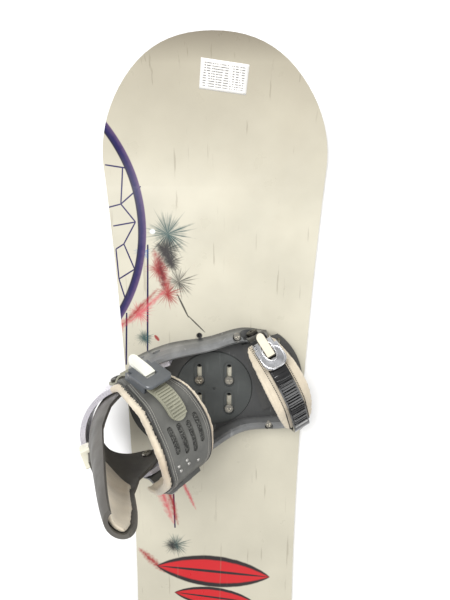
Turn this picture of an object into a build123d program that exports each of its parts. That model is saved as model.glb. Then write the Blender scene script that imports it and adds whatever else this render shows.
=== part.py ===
from build123d import *
from build123d.topology import SkipClean
import math
import os

# Snowboard with two strap bindings, in millimetres.
# The board lies on its base: +X is the toe side, +Y points to the tip, +Z is up.
# The origin is on the base plane at the middle of the board.
# Binding pieces are made for the front (left) foot in their own frame: +X from heel to toe,
# +Y to the tip, +Z up, origin on the top sheet at the disc's centre.

# ---- board ----
BOARD_LENGTH = 1390.0
WAIST_WIDTH = 228.0
NOSE_WIDTH = 277.0
NOSE_LENGTH = 140.0        # widest point to the end of the tip
NOSE_SHOULDER = (0.747, 0.707)   # point of the nose curve, as shares of half width and nose length
SIDECUT_PIECES = 12
RISE_LENGTH = 160.0        # length over which tip and tail curve up
TIP_RISE = 51.0
BASE_T = 1.8
CORE_T = 4.6
TOPSHEET_T = 0.8
EDGE_W = 2.2
SIDEWALL_W = 7.0
SHOVEL_MARGIN = 14.0       # extra length of the raw layers, cut off by the outline

# ---- inserts ----
INSERT_ROW = 20.0
INSERT_COLUMN = 40.0
INSERT_ROWS = 6
INSERT_R = 5.0
INSERT_BORE_R = 3.0
INSERT_MOUTH_R = 4.0

# ---- stance ----
STANCE_WIDTH = 542.0
DISC_OFFSET = 9.0          # disc centre, tipward of the middle of its four screws
FRONT_ANGLE = 18.0
REAR_ANGLE = 6.0

# ---- baseplate ----
FLOOR_T = 5.0
FLOOR_HEEL = -112.0
FLOOR_TOE = 96.0
RAIL_W = 15.0
RAIL_LEAN = 4.5
# along the foot, outer foot on the tip side, outer foot on the tail side, height
RAIL_STATIONS = [
    (-96, 67, 67, 34),
    (-74, 74, 75, 43),
    (-42, 76, 78, 42),
    (-14, 73, 73, 34),
    (16, 69, 67, 28),
    (42, 69, 70, 26),
    (68, 65, 76, 29),
    (90, 55, 79, 27),
]
PLATE_T = 4.0
PLATE_GAP = 0.2
# end along the foot, half width, reach back toward the disc, direction
TOE_PLATE = (119.0, 47.0, 66.0, 1)
HEEL_PLATE = (-119.0, 46.0, 66.0, -1)
SLOT_W = 5.5
SLOT_L = 17.0

# ---- disc ----
DISC_R = 51.0
DISC_T = 6.4
DISC_LIP_R = 45.0
DISC_LIP_T = 2.2
DISC_PLAY = 0.3
DISC_SLOT_L = 26.0
SCREW_R = 2.95
SCREW_HEAD_R = 6.0
SCREW_HEAD_T = 2.6
SCREW_LENGTH = 9.4
SCREW_WELL_R = 7.4

# ---- hoop ----
HOOP_T = 6.0
HOOP_HALF = 60.5           # outer half width of the hoop
HOOP_FRONT = -40.0
HOOP_CENTRE = -100.0       # where the straight arms meet the round back
HOOP_PLAY = 0.2
PIVOT_X = -106.0
PIVOT_Z = 40.0
PIVOT_R = 3.0
PIVOT_FIT = 0.05
STRAP_X = -100.0
STRAP_Z = 61.0
BOLT_R = 3.0
BOLT_HEAD_R = 8.0
BOLT_HEAD_T = 3.2

# ---- highback ----
SHELL_T = 4.0
LINER_T = 5.0
# height, middle of the ellipse along and across the foot, half depth, half width,
# front rim ahead of the middle, turn in plan
HIGHBACK_SECTIONS = [
    (20, -98, 0, 54.0, 53.5, 14, 0),
    (62, -98, 0, 54.0, 53.5, 8, 0),
    (100, -100, 0, 44.0, 50.0, -3, 0),
    (140, -97, 0, 32.0, 43.0, -3, 4),
    (190, -84, -1, 24.0, 33.0, 0, 10),
    (226, -74, -2, 19.0, 25.0, 0, 15),
    (252, -68, -2, 13.0, 15.0, 0, 17),
]
LINER_TOP = 246.0
LINER_EDGE = 2.5
SPINE_W = 12.0
SPINE_H = 3.2
ADJUSTER_PLAY = 0.5
ADJUSTER_L = 20.0
ADJUSTER_W = 24.0
ADJUSTER_T = 8.0

# ---- frame screws ----
HOOP_SCREWS = [(-76, 22), (-54, 22)]                    # along the side, height
RAIL_SCREWS = [(52, 62.0, 22.0), (56, -64.5, 22.0)]     # along, across, height of the head
RAIL_SCREW_R = 5.0

# ---- straps ----
PAD_T = 8.0
STRAP_SHELL_T = 1.8
LADDER_GAP = 2.2
LADDER_T = 2.2
TOOTH_H = 1.4
TOOTH_PITCH = 3.6

ANKLE_TILT = 41.4          # of the strap's plane above the board
SHELL_INSET = 5.0          # of the cover inside the pad's edge
SHELL_FOOT = 33.0          # lowest point of the cover in the strap's plane
SHELL_WINDOWS = [(-19, 0, 36), (-7, -4, 38), (5, 0, 36), (17, 4, 32)]   # across, along, length
SHELL_WINDOW_W = 6.5
ANKLE_LEAF_L = 92.0        # half length of the pad's leaf-shaped plan
ANKLE_LADDER_END = 20.0    # where the free end stops, from the strap's middle
ANKLE_WIDTH = 76.0
ANKLE_LADDER_W = 22.0
ANKLE_PATH = [(58, -13), (58, 12), (77, 36), (44, 90), (0, 104)]
ANKLE_RADII = [14, 26, 34]
ANKLE_CROWN_R = 60.0

TOE_X = 82.0
TOE_Y = -8.0
TOE_Z = 21.0
TOE_TURN = 8.7             # the toe strap's bolt line, turned in plan
TOE_TILT = 74.0
TOE_WIDTH = 50.0
TOE_LADDER_W = 22.0
TOE_PATH = [(63, -11), (63, 15), (23, 42), (0, 46)]
TOE_RADII = [14, 34]
TOE_CROWN_R = 90.0
TOE_LADDER_END = -56.0
TOE_PAD_T = 5.0

# ---- buckles ----
WALL_T = 1.6
FRAME_L = 34.0
FRAME_H = 12.0
LEVER_PIN_X = -12.0
RELEASE_PIN_X = 4.0
PIN_Z = 9.6
PIN_R = 1.5
PIN_FIT = 0.05
ANKLE_TONGUE_W = 14.0
TOE_TONGUE_W = 10.0
ANKLE_BUCKLE_W = 31.0
TOE_BUCKLE_W = 26.0
ANKLE_LEVER_REACH = 26.0   # of the lever's nose from the buckle's middle
TOE_LEVER_REACH = 24.0
ANKLE_NOSE_R = 7.0
TOE_NOSE_R = 11.0
ANKLE_TONGUE_END = -26.0
TOE_TONGUE_END = -22.0
LEVER_T = 3.6
LEVER_PLAY = 0.6

TOP_Z = BASE_T + CORE_T + TOPSHEET_T
PLATE_Z = FLOOR_T + PLATE_GAP
BINDING_Y = STANCE_WIDTH / 2
HOOP_IN = HOOP_HALF - HOOP_T


# ---------------------------------------------------------------- helpers
def rod(start, axis, radius, length):
    """Round bar from start along axis."""
    plane = Plane(origin=start, z_dir=axis)
    return extrude(plane * Circle(radius), amount=length)


def slab(face, z0, z1):
    """Flat face turned into a solid between two heights."""
    return extrude(Pos(0, 0, z0) * face, amount=z1 - z0)


def block(x0, x1, y0, y1, z0, z1):
    """Box between two corners."""
    middle = Pos((x0 + x1) / 2, (y0 + y1) / 2, (z0 + z1) / 2)
    return middle * Box(x1 - x0, y1 - y0, z1 - z0)


def both_sides(shape):
    """A piece and its mirror image across the binding's long axis."""
    return [shape, mirror(shape, about=Plane.XZ)]


def place(shape, rear=False):
    """A binding piece at its place on the board; the rear one is a mirror image."""
    if rear:
        return Pos(0, -BINDING_Y, TOP_Z) * Rot(0, 0, -REAR_ANGLE) * mirror(shape, about=Plane.XZ)
    return Pos(0, BINDING_Y, TOP_Z) * Rot(0, 0, FRONT_ANGLE) * shape


def place_square(shape, rear=False):
    """The same for a piece that lines up with the board, not with the foot."""
    if rear:
        return Pos(0, -BINDING_Y, TOP_Z) * mirror(shape, about=Plane.XZ)
    return Pos(0, BINDING_Y, TOP_Z) * shape


def save(shape, name):
    """One STEP file for a piece, or for a group of equal fasteners."""
    if isinstance(shape, (list, tuple)):
        solids = [s for item in shape for s in item.solids()]
        shape = Compound(children=solids) if len(solids) > 1 else solids[0]
    export_step(shape, f"parts/{name}.step")


def save_pair(shape, name):
    """A binding piece, once for each foot."""
    save(place(shape), f"front_{name}")
    save(place(shape, rear=True), f"rear_{name}")


# ---------------------------------------------------------------- board
def sidecut(waist_x, wide_x, wide_y):
    """Sidecut arc of the toe edge, tail to tip, in equal pieces."""
    radius = (wide_y**2 + (wide_x - waist_x)**2) / (2 * (wide_x - waist_x))

    def point(y):
        return (waist_x + radius - math.sqrt(radius**2 - y**2), y)

    step = 2 * wide_y / SIDECUT_PIECES
    starts = [-wide_y + step * i for i in range(SIDECUT_PIECES)]
    return [ThreePointArc(point(y), point(y + step / 2), point(y + step)) for y in starts]


def board_outline(inset=0.0):
    """Plan of the board, drawn in by inset all round."""
    half = BOARD_LENGTH / 2 - inset
    wide_x = NOSE_WIDTH / 2 - inset
    wide_y = BOARD_LENGTH / 2 - NOSE_LENGTH
    waist_x = WAIST_WIDTH / 2 - inset
    shoulder = (NOSE_SHOULDER[0] * wide_x, wide_y + NOSE_SHOULDER[1] * (half - wide_y))
    side = sidecut(waist_x, wide_x, wide_y)
    nose = Spline((wide_x, wide_y), shoulder, (0, half), tangents=(side[-1] % 1, (-1, 0)))
    right = side + [nose, mirror(nose, about=Plane.XZ)]
    left = [mirror(edge, about=Plane.YZ) for edge in right]
    return make_face([edge for line in right + left for edge in line.edges()])


def board_layer(z0, z1):
    """Raw layer between two heights, flat in the middle and curved up at both ends."""
    bend_r = (RISE_LENGTH**2 + TIP_RISE**2) / (2 * TIP_RISE)
    flat_y = BOARD_LENGTH / 2 - RISE_LENGTH
    turn = math.degrees(math.asin((RISE_LENGTH + SHOVEL_MARGIN) / bend_r))
    lower = JernArc((flat_y, z0), (1, 0), bend_r - z0, turn)
    upper = JernArc((flat_y, z1), (1, 0), bend_r - z1, turn)
    edges = [
        Line((0, z0), (flat_y, z0)),
        lower,
        Line(lower @ 1, upper @ 1),
        upper,
        Line((flat_y, z1), (0, z1)),
        Line((0, z1), (0, z0)),
    ]
    half = extrude(Plane.YZ * make_face(edges), amount=NOSE_WIDTH / 2 + 5, both=True)
    return half + mirror(half, about=Plane.XZ)


def board_prism(inset=0.0):
    """Tall block with the board's plan; its sides stay in pieces so that long arcs keep their shape."""
    return extrude(Pos(0, 0, -1) * board_outline(inset), amount=TIP_RISE * 2, clean=False)


def insert_points(rear=False):
    """Centres of one pack of inserts, from the binding's heelward screws to the tip."""
    first = BINDING_Y - DISC_OFFSET - INSERT_ROW
    side = -1 if rear else 1
    columns = (-INSERT_COLUMN / 2, INSERT_COLUMN / 2)
    return [(x, side * (first + INSERT_ROW * row)) for row in range(INSERT_ROWS) for x in columns]


def holes(points, radius, z0, z1):
    return [Pos(x, y, z0) * extrude(Circle(radius), amount=z1 - z0) for x, y in points]


def build_board():
    """All the board's layers, cut from one plan and one side profile."""
    all_points = insert_points() + insert_points(rear=True)
    core_z = BASE_T + CORE_T
    whole = board_prism()
    inside_edge = board_prism(EDGE_W)
    inside_wall = board_prism(SIDEWALL_W)
    base_layer = board_layer(0, BASE_T)
    core_layer = board_layer(BASE_T, core_z)
    save(base_layer & inside_edge, "base_sheet")
    save(base_layer & (whole - inside_edge), "steel_edge")
    save(core_layer & (whole - inside_wall), "sidewall")
    core = core_layer & inside_wall
    core -= holes(all_points, INSERT_R, BASE_T - 1, core_z + 1)
    save(core, "wood_core")
    topsheet = board_layer(core_z, TOP_Z) & whole
    topsheet -= holes(all_points, INSERT_MOUTH_R, core_z - 1, TOP_Z + 1)
    save(topsheet, "topsheet")
    for name, rear in (("front_inserts", False), ("rear_inserts", True)):
        points = insert_points(rear)
        barrels = holes(points, INSERT_R, BASE_T, core_z)
        bores = holes(points, INSERT_BORE_R, BASE_T - 1, core_z + 1)
        save([barrel - bore for barrel, bore in zip(barrels, bores)], name)


# ---------------------------------------------------------------- baseplate and disc
def rail_section(x, outer, height, side):
    """Cross-section of a side rail: wide foot, rounded top that leans inward."""
    points = [
        (outer, 0),
        (outer - RAIL_LEAN * 0.4, height * 0.6),
        (outer - RAIL_LEAN, height * 0.9),
        (outer - RAIL_LEAN - 2.5, height),
        (outer - RAIL_W + 3.5, height),
        (outer - RAIL_W + 1, height * 0.9),
        (outer - RAIL_W, height * 0.5),
        (outer - RAIL_W - 1, 0),
    ]
    outline = Polyline(*[(side * y, z) for y, z in points], close=True)
    plane = Plane(origin=(x, 0, 0), x_dir=(0, 1, 0), z_dir=(1, 0, 0))
    return plane * make_face(outline)


def side_rail(side):
    column = 1 if side > 0 else 2
    return loft([rail_section(row[0], row[column], row[3], side) for row in RAIL_STATIONS])


def floor_outline():
    """Plan of the baseplate's floor, running under both rails."""
    inset = RAIL_W / 2
    tip = [(row[0], row[1] - inset) for row in RAIL_STATIONS]
    tail = [(row[0], -row[2] + inset) for row in reversed(RAIL_STATIONS)]
    heel = [(FLOOR_HEEL, -34), (FLOOR_HEEL, 34)]
    toe = [(FLOOR_TOE, 30), (FLOOR_TOE, -60)]
    return make_face(Polyline(*tip, *toe, *tail, *heel, close=True))


def strap_bolt_line(q):
    """Point on the toe strap's bolt line, q to the tip side of its middle."""
    turn = math.radians(TOE_TURN)
    return (TOE_X - q * math.sin(turn), TOE_Y + q * math.cos(turn), TOE_Z)


def toe_tab_seat():
    """Distance of a toe strap tab's inner face from the middle of the bolt line."""
    return TOE_PATH[0][0] + STRAP_SHELL_T + LADDER_GAP


def toe_axis():
    turn = math.radians(TOE_TURN)
    return (-math.sin(turn), math.cos(turn), 0)




def baseplate():
    """Floor and two rails, with the disc's seat, the hoop's pockets and the fastener holes."""
    body = slab(floor_outline(), 0, FLOOR_T) + side_rail(1) + side_rail(-1)
    body -= slab(Circle(DISC_R + DISC_PLAY), DISC_LIP_T, FLOOR_T + 60)
    body -= slab(Circle(DISC_LIP_R + DISC_PLAY), -1, FLOOR_T)
    pocket = block(-140, HOOP_FRONT + 1, HOOP_IN - HOOP_PLAY, HOOP_HALF + HOOP_PLAY, 7.5, 120)
    for cut in both_sides(pocket):
        body -= cut
    # the rails stay clear of the highback's wings and of the plates on the floor
    body -= block(-150, HOOP_FRONT + 1, -HOOP_IN, HOOP_IN, FLOOR_T, 120)
    for plate in (TOE_PLATE, HEEL_PLATE):
        pocket = plate_outline(*plate, grow=PLATE_GAP)
        body -= slab(pocket, FLOOR_T, PLATE_Z + PLATE_T + PLATE_GAP)
    for x, z in HOOP_SCREWS:
        for side in (1, -1):
            body -= rod((x, side * HOOP_IN, z), (0, side, 0), 2.6, 40)
            body -= rod((x, side * 68.5, z), (0, side, 0), 5.4, 30)
    for x, y, z in RAIL_SCREWS:
        body -= rod((x, y, FLOOR_T), (0, 0, 1), 2.1, 40)
        body -= rod((x, y, z - 4.0), (0, 0, 1), RAIL_SCREW_R + 0.4, 20)
    for q in (50, -50):
        side = math.copysign(1, q)
        axis = (toe_axis()[0] * side, toe_axis()[1] * side, 0)
        body -= rod(strap_bolt_line(q), axis, BOLT_R + 0.1, 40)
        body -= rod(strap_bolt_line(side * (toe_tab_seat() - 0.4)), axis, 14, 30)
    return body


def plate_outline(x_end, half_width, reach, side, grow=0.0):
    """Plan of a footbed plate with a rounded end, grown all round."""
    x_end += side * grow
    half_width += grow
    x_in = x_end - side * (reach + 2 * grow)
    bow = 16.0
    end = ThreePointArc((x_end - side * bow, -half_width), (x_end, 0), (x_end - side * bow, half_width))
    edges = [
        end,
        Line(end @ 1, (x_in, half_width)),
        Line((x_in, half_width), (x_in, -half_width)),
        Line((x_in, -half_width), end @ 0),
    ]
    return make_face(edges)


def slotted_plate(x_end, half_width, reach, side):
    """Thin footbed plate, hollowed for the disc, with rows of slots across it."""
    plate = plate_outline(x_end, half_width, reach, side)
    plate -= Circle(DISC_R + 1.5)
    for row in range(2):
        x = x_end - side * (11 + 12 * row)
        for y in (-1.5, -0.5, 0.5, 1.5):
            shift = 23.0 * y
            lean = -side * 0.0075 * shift**2
            plate -= Pos(x + lean, shift) * Rot(0, 0, 90 - 0.8 * side * shift) * SlotOverall(SLOT_L, SLOT_W)
    return slab(plate, PLATE_Z, PLATE_Z + PLATE_T)


def disc():
    """Clamping disc with four slots along the board and a well round each screw."""
    body = slab(Circle(DISC_LIP_R), 0.4, DISC_LIP_T + 1)
    body += slab(Circle(DISC_R), DISC_LIP_T + 0.2, DISC_T)
    body = chamfer(body.edges().group_by(Axis.Z)[-1], 1.0)
    for x, y in disc_screw_points():
        centre = y + DISC_OFFSET
        body -= slab(Pos(x, centre) * Rot(0, 0, 90) * SlotOverall(DISC_SLOT_L, 2 * SCREW_R + 0.3), -1, 9)
        body -= slab(Pos(x, centre) * Rot(0, 0, 90) * SlotOverall(DISC_SLOT_L + 9, 2 * SCREW_WELL_R), 4.4, 9)
    body -= slab(Circle(2.0), 4.6, 9)
    return body


def disc_screw_points():
    """Screw centres in the board's directions, from the disc's centre."""
    return [(x, y - DISC_OFFSET) for x in (-20.0, 20.0) for y in (-INSERT_ROW, INSERT_ROW)]


def cross_screw(radius, head_r, head_t, length):
    """Pan-head screw hanging from z = 0, with a cross recess in its head."""
    head = chamfer(slab(Circle(head_r), 0, head_t).edges().group_by(Axis.Z)[-1], head_t * 0.3)
    recess = slab(Rectangle(head_r * 1.1, head_r * 0.28) + Rectangle(head_r * 0.28, head_r * 1.1), head_t * 0.4, 9)
    return head - recess + slab(Circle(radius), -length, 0)


def disc_screws():
    screw = cross_screw(SCREW_R, SCREW_HEAD_R, SCREW_HEAD_T, SCREW_LENGTH)
    group = [Pos(x, y, 4.4) * screw for x, y in disc_screw_points()]
    return [place_square(s, rear) for rear in (False, True) for s in group]


# ---------------------------------------------------------------- hoop
def hoop():
    """U-shaped band round the heel, cut to its side profile."""
    def plan(half):
        arms = Pos((HOOP_FRONT + HOOP_CENTRE) / 2, 0) * Rectangle(HOOP_FRONT - HOOP_CENTRE, 2 * half)
        return arms + Pos(HOOP_CENTRE, 0) * Circle(half)
    band = slab(plan(HOOP_HALF), 0, 110) - slab(plan(HOOP_IN), -1, 111)
    band -= block(HOOP_FRONT - 0.1, 200, -HOOP_IN, HOOP_IN, -1, 120)
    upper = [(-36, 30), (-62, 37), (-84, 66), (-97, 75), (-120, 77), (-170, 90)]
    lower = [(-170, 67), (-128, 52), (-110, 27), (-92, 10), (-36, 10)]
    profile = make_face(FilletPolyline(*upper, *lower, radius=5, close=True))
    side_view = Plane(origin=(0, 100, 0), x_dir=(1, 0, 0), z_dir=(0, -1, 0))
    band = band & extrude(side_view * profile, amount=200)
    for side in (1, -1):
        band -= rod((PIVOT_X, side * (HOOP_IN - 2), PIVOT_Z), (0, side, 0), PIVOT_R, 20)
        band -= rod((STRAP_X, side * (HOOP_IN - 2), STRAP_Z), (0, side, 0), BOLT_R, 20)
        for x, z in HOOP_SCREWS:
            band -= rod((x, side * (HOOP_IN - 2), z), (0, side, 0), 2.5, 20)
    return band


def turned(screw, point, axis):
    """A screw moved to point, its head facing along axis."""
    return Plane(origin=point, z_dir=axis).location * screw


def hoop_screws():
    screw = cross_screw(2.5, 5.0, 2.6, 68.6 - HOOP_IN - 0.5)
    group = [turned(screw, (x, s * 68.6, z), (0, s, 0)) for x, z in HOOP_SCREWS for s in (1, -1)]
    return [place(item, rear) for rear in (False, True) for item in group]


def rail_screws():
    screw = cross_screw(2.0, RAIL_SCREW_R, 2.4, 12.0)
    group = [Pos(x, y, z - 4.0) * screw for x, y, z in RAIL_SCREWS]
    return [place(item, rear) for rear in (False, True) for item in group]


def highback_pivots():
    """Pins from inside each wing into the hoop."""
    seat = wing_inner_face() - 0.4
    pin = cross_screw(PIVOT_R, 6.5, 2.8, HOOP_HALF - 0.5 - seat)
    group = [turned(pin, (PIVOT_X, s * seat, PIVOT_Z), (0, -s, 0)) for s in (1, -1)]
    return [place(item, rear) for rear in (False, True) for item in group]


def ankle_bolts():
    """Strap bolts, head outside the strap's tab, thread in the hoop."""
    seat = ANKLE_PATH[0][0] + ladder_top() + 0.4
    bolt = cross_screw(BOLT_R, BOLT_HEAD_R, BOLT_HEAD_T, seat - HOOP_IN - 0.5)
    group = [turned(bolt, (STRAP_X, s * seat, STRAP_Z), (0, s, 0)) for s in (1, -1)]
    return [place(item, rear) for rear in (False, True) for item in group]


def toe_bolts():
    seat = TOE_PATH[0][0] + ladder_top() + 0.4
    bolt = cross_screw(BOLT_R, BOLT_HEAD_R - 0.5, BOLT_HEAD_T, seat - 55)
    group = []
    for side in (1, -1):
        axis = (toe_axis()[0] * side, toe_axis()[1] * side, 0)
        group.append(turned(bolt, strap_bolt_line(side * seat), axis))
    return [place(item, rear) for rear in (False, True) for item in group]


# ---------------------------------------------------------------- highback
def highback_body(inset):
    """Closed spoon shape through the ellipses, drawn in by inset."""
    sections = []
    for z, x, y, depth, width, _, turn in HIGHBACK_SECTIONS:
        sections.append(Pos(x, y, z) * Rot(0, 0, turn) * Ellipse(depth - inset, width - inset))
    return loft(sections)


def front_cut(edge_inset=0.0):
    """Everything ahead of the front rims, to be cut from the closed spoon shape."""
    sections = []
    for z, x, y, _, _, front, turn in HIGHBACK_SECTIONS:
        spot = Pos(x, y, z) * Rot(0, 0, turn) * Pos(front - edge_inset + 60, 0)
        sections.append(spot * Rectangle(120, 200))
    return loft(sections, ruled=True)


def lower_cut(points):
    """Everything under a line in side view, to be cut from the highback or its liner."""
    side_view = Plane(origin=(0, 100, 0), x_dir=(1, 0, 0), z_dir=(0, -1, 0))
    outline = Polyline((-200, -10), *points, (0, -10), close=True)
    return extrude(side_view * make_face(outline), amount=200)


def wing_inner_face():
    """Distance of the wing's inner face from the middle, at the pivot."""
    x, _, depth, width = HIGHBACK_SECTIONS[0][1:5]
    share = (PIVOT_X - x) / (depth - SHELL_T)
    return (width - SHELL_T) * math.sqrt(1 - share**2)


def spine_plane():
    """Plane on the shell's back, x up along the spine, z away from it."""
    low = HIGHBACK_SECTIONS[2]
    high = HIGHBACK_SECTIONS[3]
    start = Vector(low[1] - low[3], 0, low[0])
    end = Vector(high[1] - high[3], 0, high[0])
    along = (end - start).normalized()
    return Plane(origin=start, x_dir=along, z_dir=Vector(-along.Z, 0, along.X))


def highback_shell():
    spine = spine_plane().location * block(-8, 40, -SPINE_W / 2, SPINE_W / 2, -4, SPINE_H)
    hollow = highback_body(SHELL_T)
    body = (highback_body(0) - hollow) - front_cut()
    body += spine - hollow
    body -= lower_cut([(-200, 60), (-144, 56), (-118, 34), (-112, 30), (-88, 29), (-80, 36), (-60, 40)])
    for side in (1, -1):
        body -= rod((PIVOT_X, side * 40, PIVOT_Z), (0, side, 0), PIVOT_R + PIVOT_FIT, 20)
        body -= rod((PIVOT_X, side * 30, PIVOT_Z), (0, side, 0), 7.3, wing_inner_face() - 30)
    return body


def highback_liner():
    """Soft lining inside the upper part of the shell."""
    body = highback_body(SHELL_T) - highback_body(SHELL_T + LINER_T) - front_cut(LINER_EDGE)
    body -= lower_cut([(-200, 100), (-130, 100), (-112, 118), (-80, 150), (-60, 150)])
    return body - block(-200, 200, -200, 200, LINER_TOP, 400)


def lean_adjuster():
    """Stop block that straddles the spine and rests on the hoop."""
    gap = ADJUSTER_PLAY
    half = ADJUSTER_W / 2
    body = block(-6, -6 + ADJUSTER_L, -half, half, gap, SPINE_H + ADJUSTER_T)
    body = fillet(body.edges().filter_by(Axis.Z), 3)
    body -= block(-20, 40, -SPINE_W / 2 - gap, SPINE_W / 2 + gap, -1, SPINE_H + gap)
    body -= rod((2, 0, 0), (0, 0, 1), 2.2, 30)
    return spine_plane().location * body


# ---------------------------------------------------------------- straps
def ankle_plane():
    """Plane of the ankle strap: x to the tip side, y out from the bolts, z toward the toe."""
    tilt = math.radians(ANKLE_TILT)
    return Plane(origin=(STRAP_X, 0, STRAP_Z), x_dir=(0, 1, 0), z_dir=(math.sin(tilt), 0, -math.cos(tilt)))


def toe_plane():
    turn = math.radians(TOE_TURN)
    tilt = math.radians(TOE_TILT)
    forward = (math.cos(turn), math.sin(turn))
    normal = (math.sin(tilt) * forward[0], math.sin(tilt) * forward[1], -math.cos(tilt))
    return Plane(origin=(TOE_X, TOE_Y, TOE_Z), x_dir=toe_axis(), z_dir=normal)


def mirrored_path(half, radii, crown):
    """Corner points and radii of a whole arch, from its tip-side half."""
    points = half + [(-x, y) for x, y in reversed(half[:-1])]
    return points, radii + [crown] + radii[::-1]


def shifted_path(points, radii, offset):
    """The same arch moved outward by offset, with square-cut ends."""
    moved = []
    new_radii = []
    count = len(points)
    normals = []
    for (x0, y0), (x1, y1) in zip(points, points[1:]):
        length = math.hypot(x1 - x0, y1 - y0)
        normals.append(((y1 - y0) / length, -(x1 - x0) / length))
    for i, (x, y) in enumerate(points):
        before = normals[max(i - 1, 0)]
        after = normals[min(i, count - 2)]
        scale = offset / (1 + before[0] * after[0] + before[1] * after[1])
        moved.append((x + (before[0] + after[0]) * scale, y + (before[1] + after[1]) * scale))
        if 0 < i < count - 1:
            turn = before[0] * after[1] - before[1] * after[0]
            new_radii.append(radii[i - 1] + (offset if turn > 0 else -offset))
    return moved, new_radii


def arch_band(path, inner, outer, width):
    """Band along an arch between two offsets, square across its width."""
    low, low_radii = shifted_path(*path, inner)
    high, high_radii = shifted_path(*path, outer)
    lower = FilletPolyline(*low, radius=low_radii)
    upper = FilletPolyline(*high, radius=high_radii)
    ends = [Line(lower @ 0, upper @ 0), Line(lower @ 1, upper @ 1)]
    face = make_face(lower.edges() + upper.edges() + [end.edge() for end in ends])
    return extrude(face, amount=width / 2, both=True)


def ladder_top():
    return STRAP_SHELL_T + LADDER_GAP + LADDER_T


def ankle_path():
    return mirrored_path(ANKLE_PATH, ANKLE_RADII, ANKLE_CROWN_R)


def toe_path():
    return mirrored_path(TOE_PATH, TOE_RADII, TOE_CROWN_R)


def leaf_prism(half_length, width, y0=-50, y1=200):
    """Leaf-shaped prism that trims a pad: widest at the crown, narrow at its ends."""
    plan = Plane(origin=(0, y0, 0), x_dir=(1, 0, 0), z_dir=(0, 1, 0))
    return extrude(plan * Ellipse(half_length, width / 2), amount=y1 - y0)


def ankle_pad():
    """Soft pad under the strap's shell."""
    pad = arch_band(ankle_path(), -PAD_T, 0, ANKLE_WIDTH)
    pad = pad & leaf_prism(ANKLE_LEAF_L, ANKLE_WIDTH)
    return pad & block(-200, 200, 27, 300, -100, 100)


def ankle_shell():
    """Outer cover of the ankle strap with four long windows."""
    body = arch_band(ankle_path(), 0, STRAP_SHELL_T, ANKLE_WIDTH)
    body = body & leaf_prism(ANKLE_LEAF_L - SHELL_INSET, ANKLE_WIDTH - 2 * SHELL_INSET)
    body = body & block(-200, 200, SHELL_FOOT, 300, -100, 100)
    plan = Plane(origin=(0, 40, 0), x_dir=(1, 0, 0), z_dir=(0, 1, 0))
    for z, x, length in SHELL_WINDOWS:
        window = Pos(x, z) * SlotOverall(length, SHELL_WINDOW_W)
        body -= extrude(plan * window, amount=120)
    return body


def strap_tab(x, offset, thickness, radius, hole_r):
    """Round tab of a strap end, lying flat against its bolt's seat."""
    side = math.copysign(1, x)
    tab = rod((x + side * offset, 0, 0), (side, 0, 0), radius, thickness)
    return tab, rod((0, 0, 0), (side, 0, 0), hole_r, 200)


def ladder(path, offset, width, x_end, y_low, nose=0.0):
    """Toothed ladder from its bolt to its free end; teeth run across it."""
    whole = arch_band(path, offset, offset + LADDER_T, width)
    keep = block(x_end + nose, 200, y_low, 200, -50, 50)
    if nose > 0:
        keep += rod((x_end + nose, y_low, 0), (0, 1, 0), nose, 200)
    body = whole & keep
    wire = FilletPolyline(*shifted_path(*path, offset + LADDER_T)[0],
                          radius=shifted_path(*path, offset + LADDER_T)[1])
    count = int(wire.length / TOOTH_PITCH)
    for i in range(count):
        share = (i + 0.5) / count
        point = wire @ share
        along = wire % share
        if point.X < x_end + 4 or point.Y < 26:
            continue
        spot = Plane(origin=point, x_dir=along, z_dir=(along.Y, -along.X, 0))
        body += spot.location * block(-0.9, 0.9, 2 - width / 2, width / 2 - 2, -0.5, TOOTH_H)
    return body


def with_bolt_hole(body, x, offset, radius):
    tab, hole = strap_tab(x, offset, LADDER_T, radius, BOLT_R + PIN_FIT)
    return (body + tab) - hole


def ankle_ladder():
    offset = STRAP_SHELL_T + LADDER_GAP
    body = ladder(ankle_path(), offset, ANKLE_LADDER_W, ANKLE_LADDER_END, 0, ANKLE_LADDER_W / 2)
    return with_bolt_hole(body, ANKLE_PATH[0][0], offset, ANKLE_LADDER_W / 2)


def toe_ladder():
    offset = STRAP_SHELL_T + LADDER_GAP
    body = ladder(toe_path(), offset, TOE_LADDER_W, TOE_LADDER_END, 0)
    body -= block(-200, -30, -100, 12, -50, 50)
    return with_bolt_hole(body, TOE_PATH[0][0], offset, TOE_LADDER_W / 2)


def connector(path, x_bolt, x_end, width, y_cut, y_clear):
    """Link strap on the far side, from its bolt up to the pad."""
    offset = STRAP_SHELL_T + LADDER_GAP
    body = arch_band(path, STRAP_SHELL_T, offset + LADDER_T, width)
    body = body & block(-200, x_end, 0, y_cut, -50, 50)
    body -= block(x_bolt - offset, 0, -50, y_clear, -50, 50)
    return with_bolt_hole(body, x_bolt, offset, width / 2)


def ankle_connector():
    return connector(ankle_path(), -ANKLE_PATH[0][0], -38, 26, 84, 24)


def toe_pad():
    pad = arch_band(toe_path(), -TOE_PAD_T, 0, TOE_WIDTH)
    pad = pad & leaf_prism(84, TOE_WIDTH)
    return pad & block(-200, 200, 13, 300, -100, 100)


def toe_connector():
    return connector(toe_path(), -TOE_PATH[0][0], -56.5, 22, 26, 12)


# ---------------------------------------------------------------- buckles
def buckle_plane(path, corner, slide=0.0):
    """Plane on the strap shell's outer face, in the middle of the straight run after corner."""
    points, _ = path
    (x0, y0), (x1, y1) = points[corner], points[corner + 1]
    length = math.hypot(x1 - x0, y1 - y0)
    along = ((x1 - x0) / length, (y1 - y0) / length, 0)
    out = (along[1], -along[0], 0)
    middle = [(a + b) / 2 + STRAP_SHELL_T * n + slide * t
              for a, b, n, t in zip((x0, y0), (x1, y1), out, along)]
    return Plane(origin=(middle[0], middle[1], 0), x_dir=along, z_dir=out)


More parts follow.
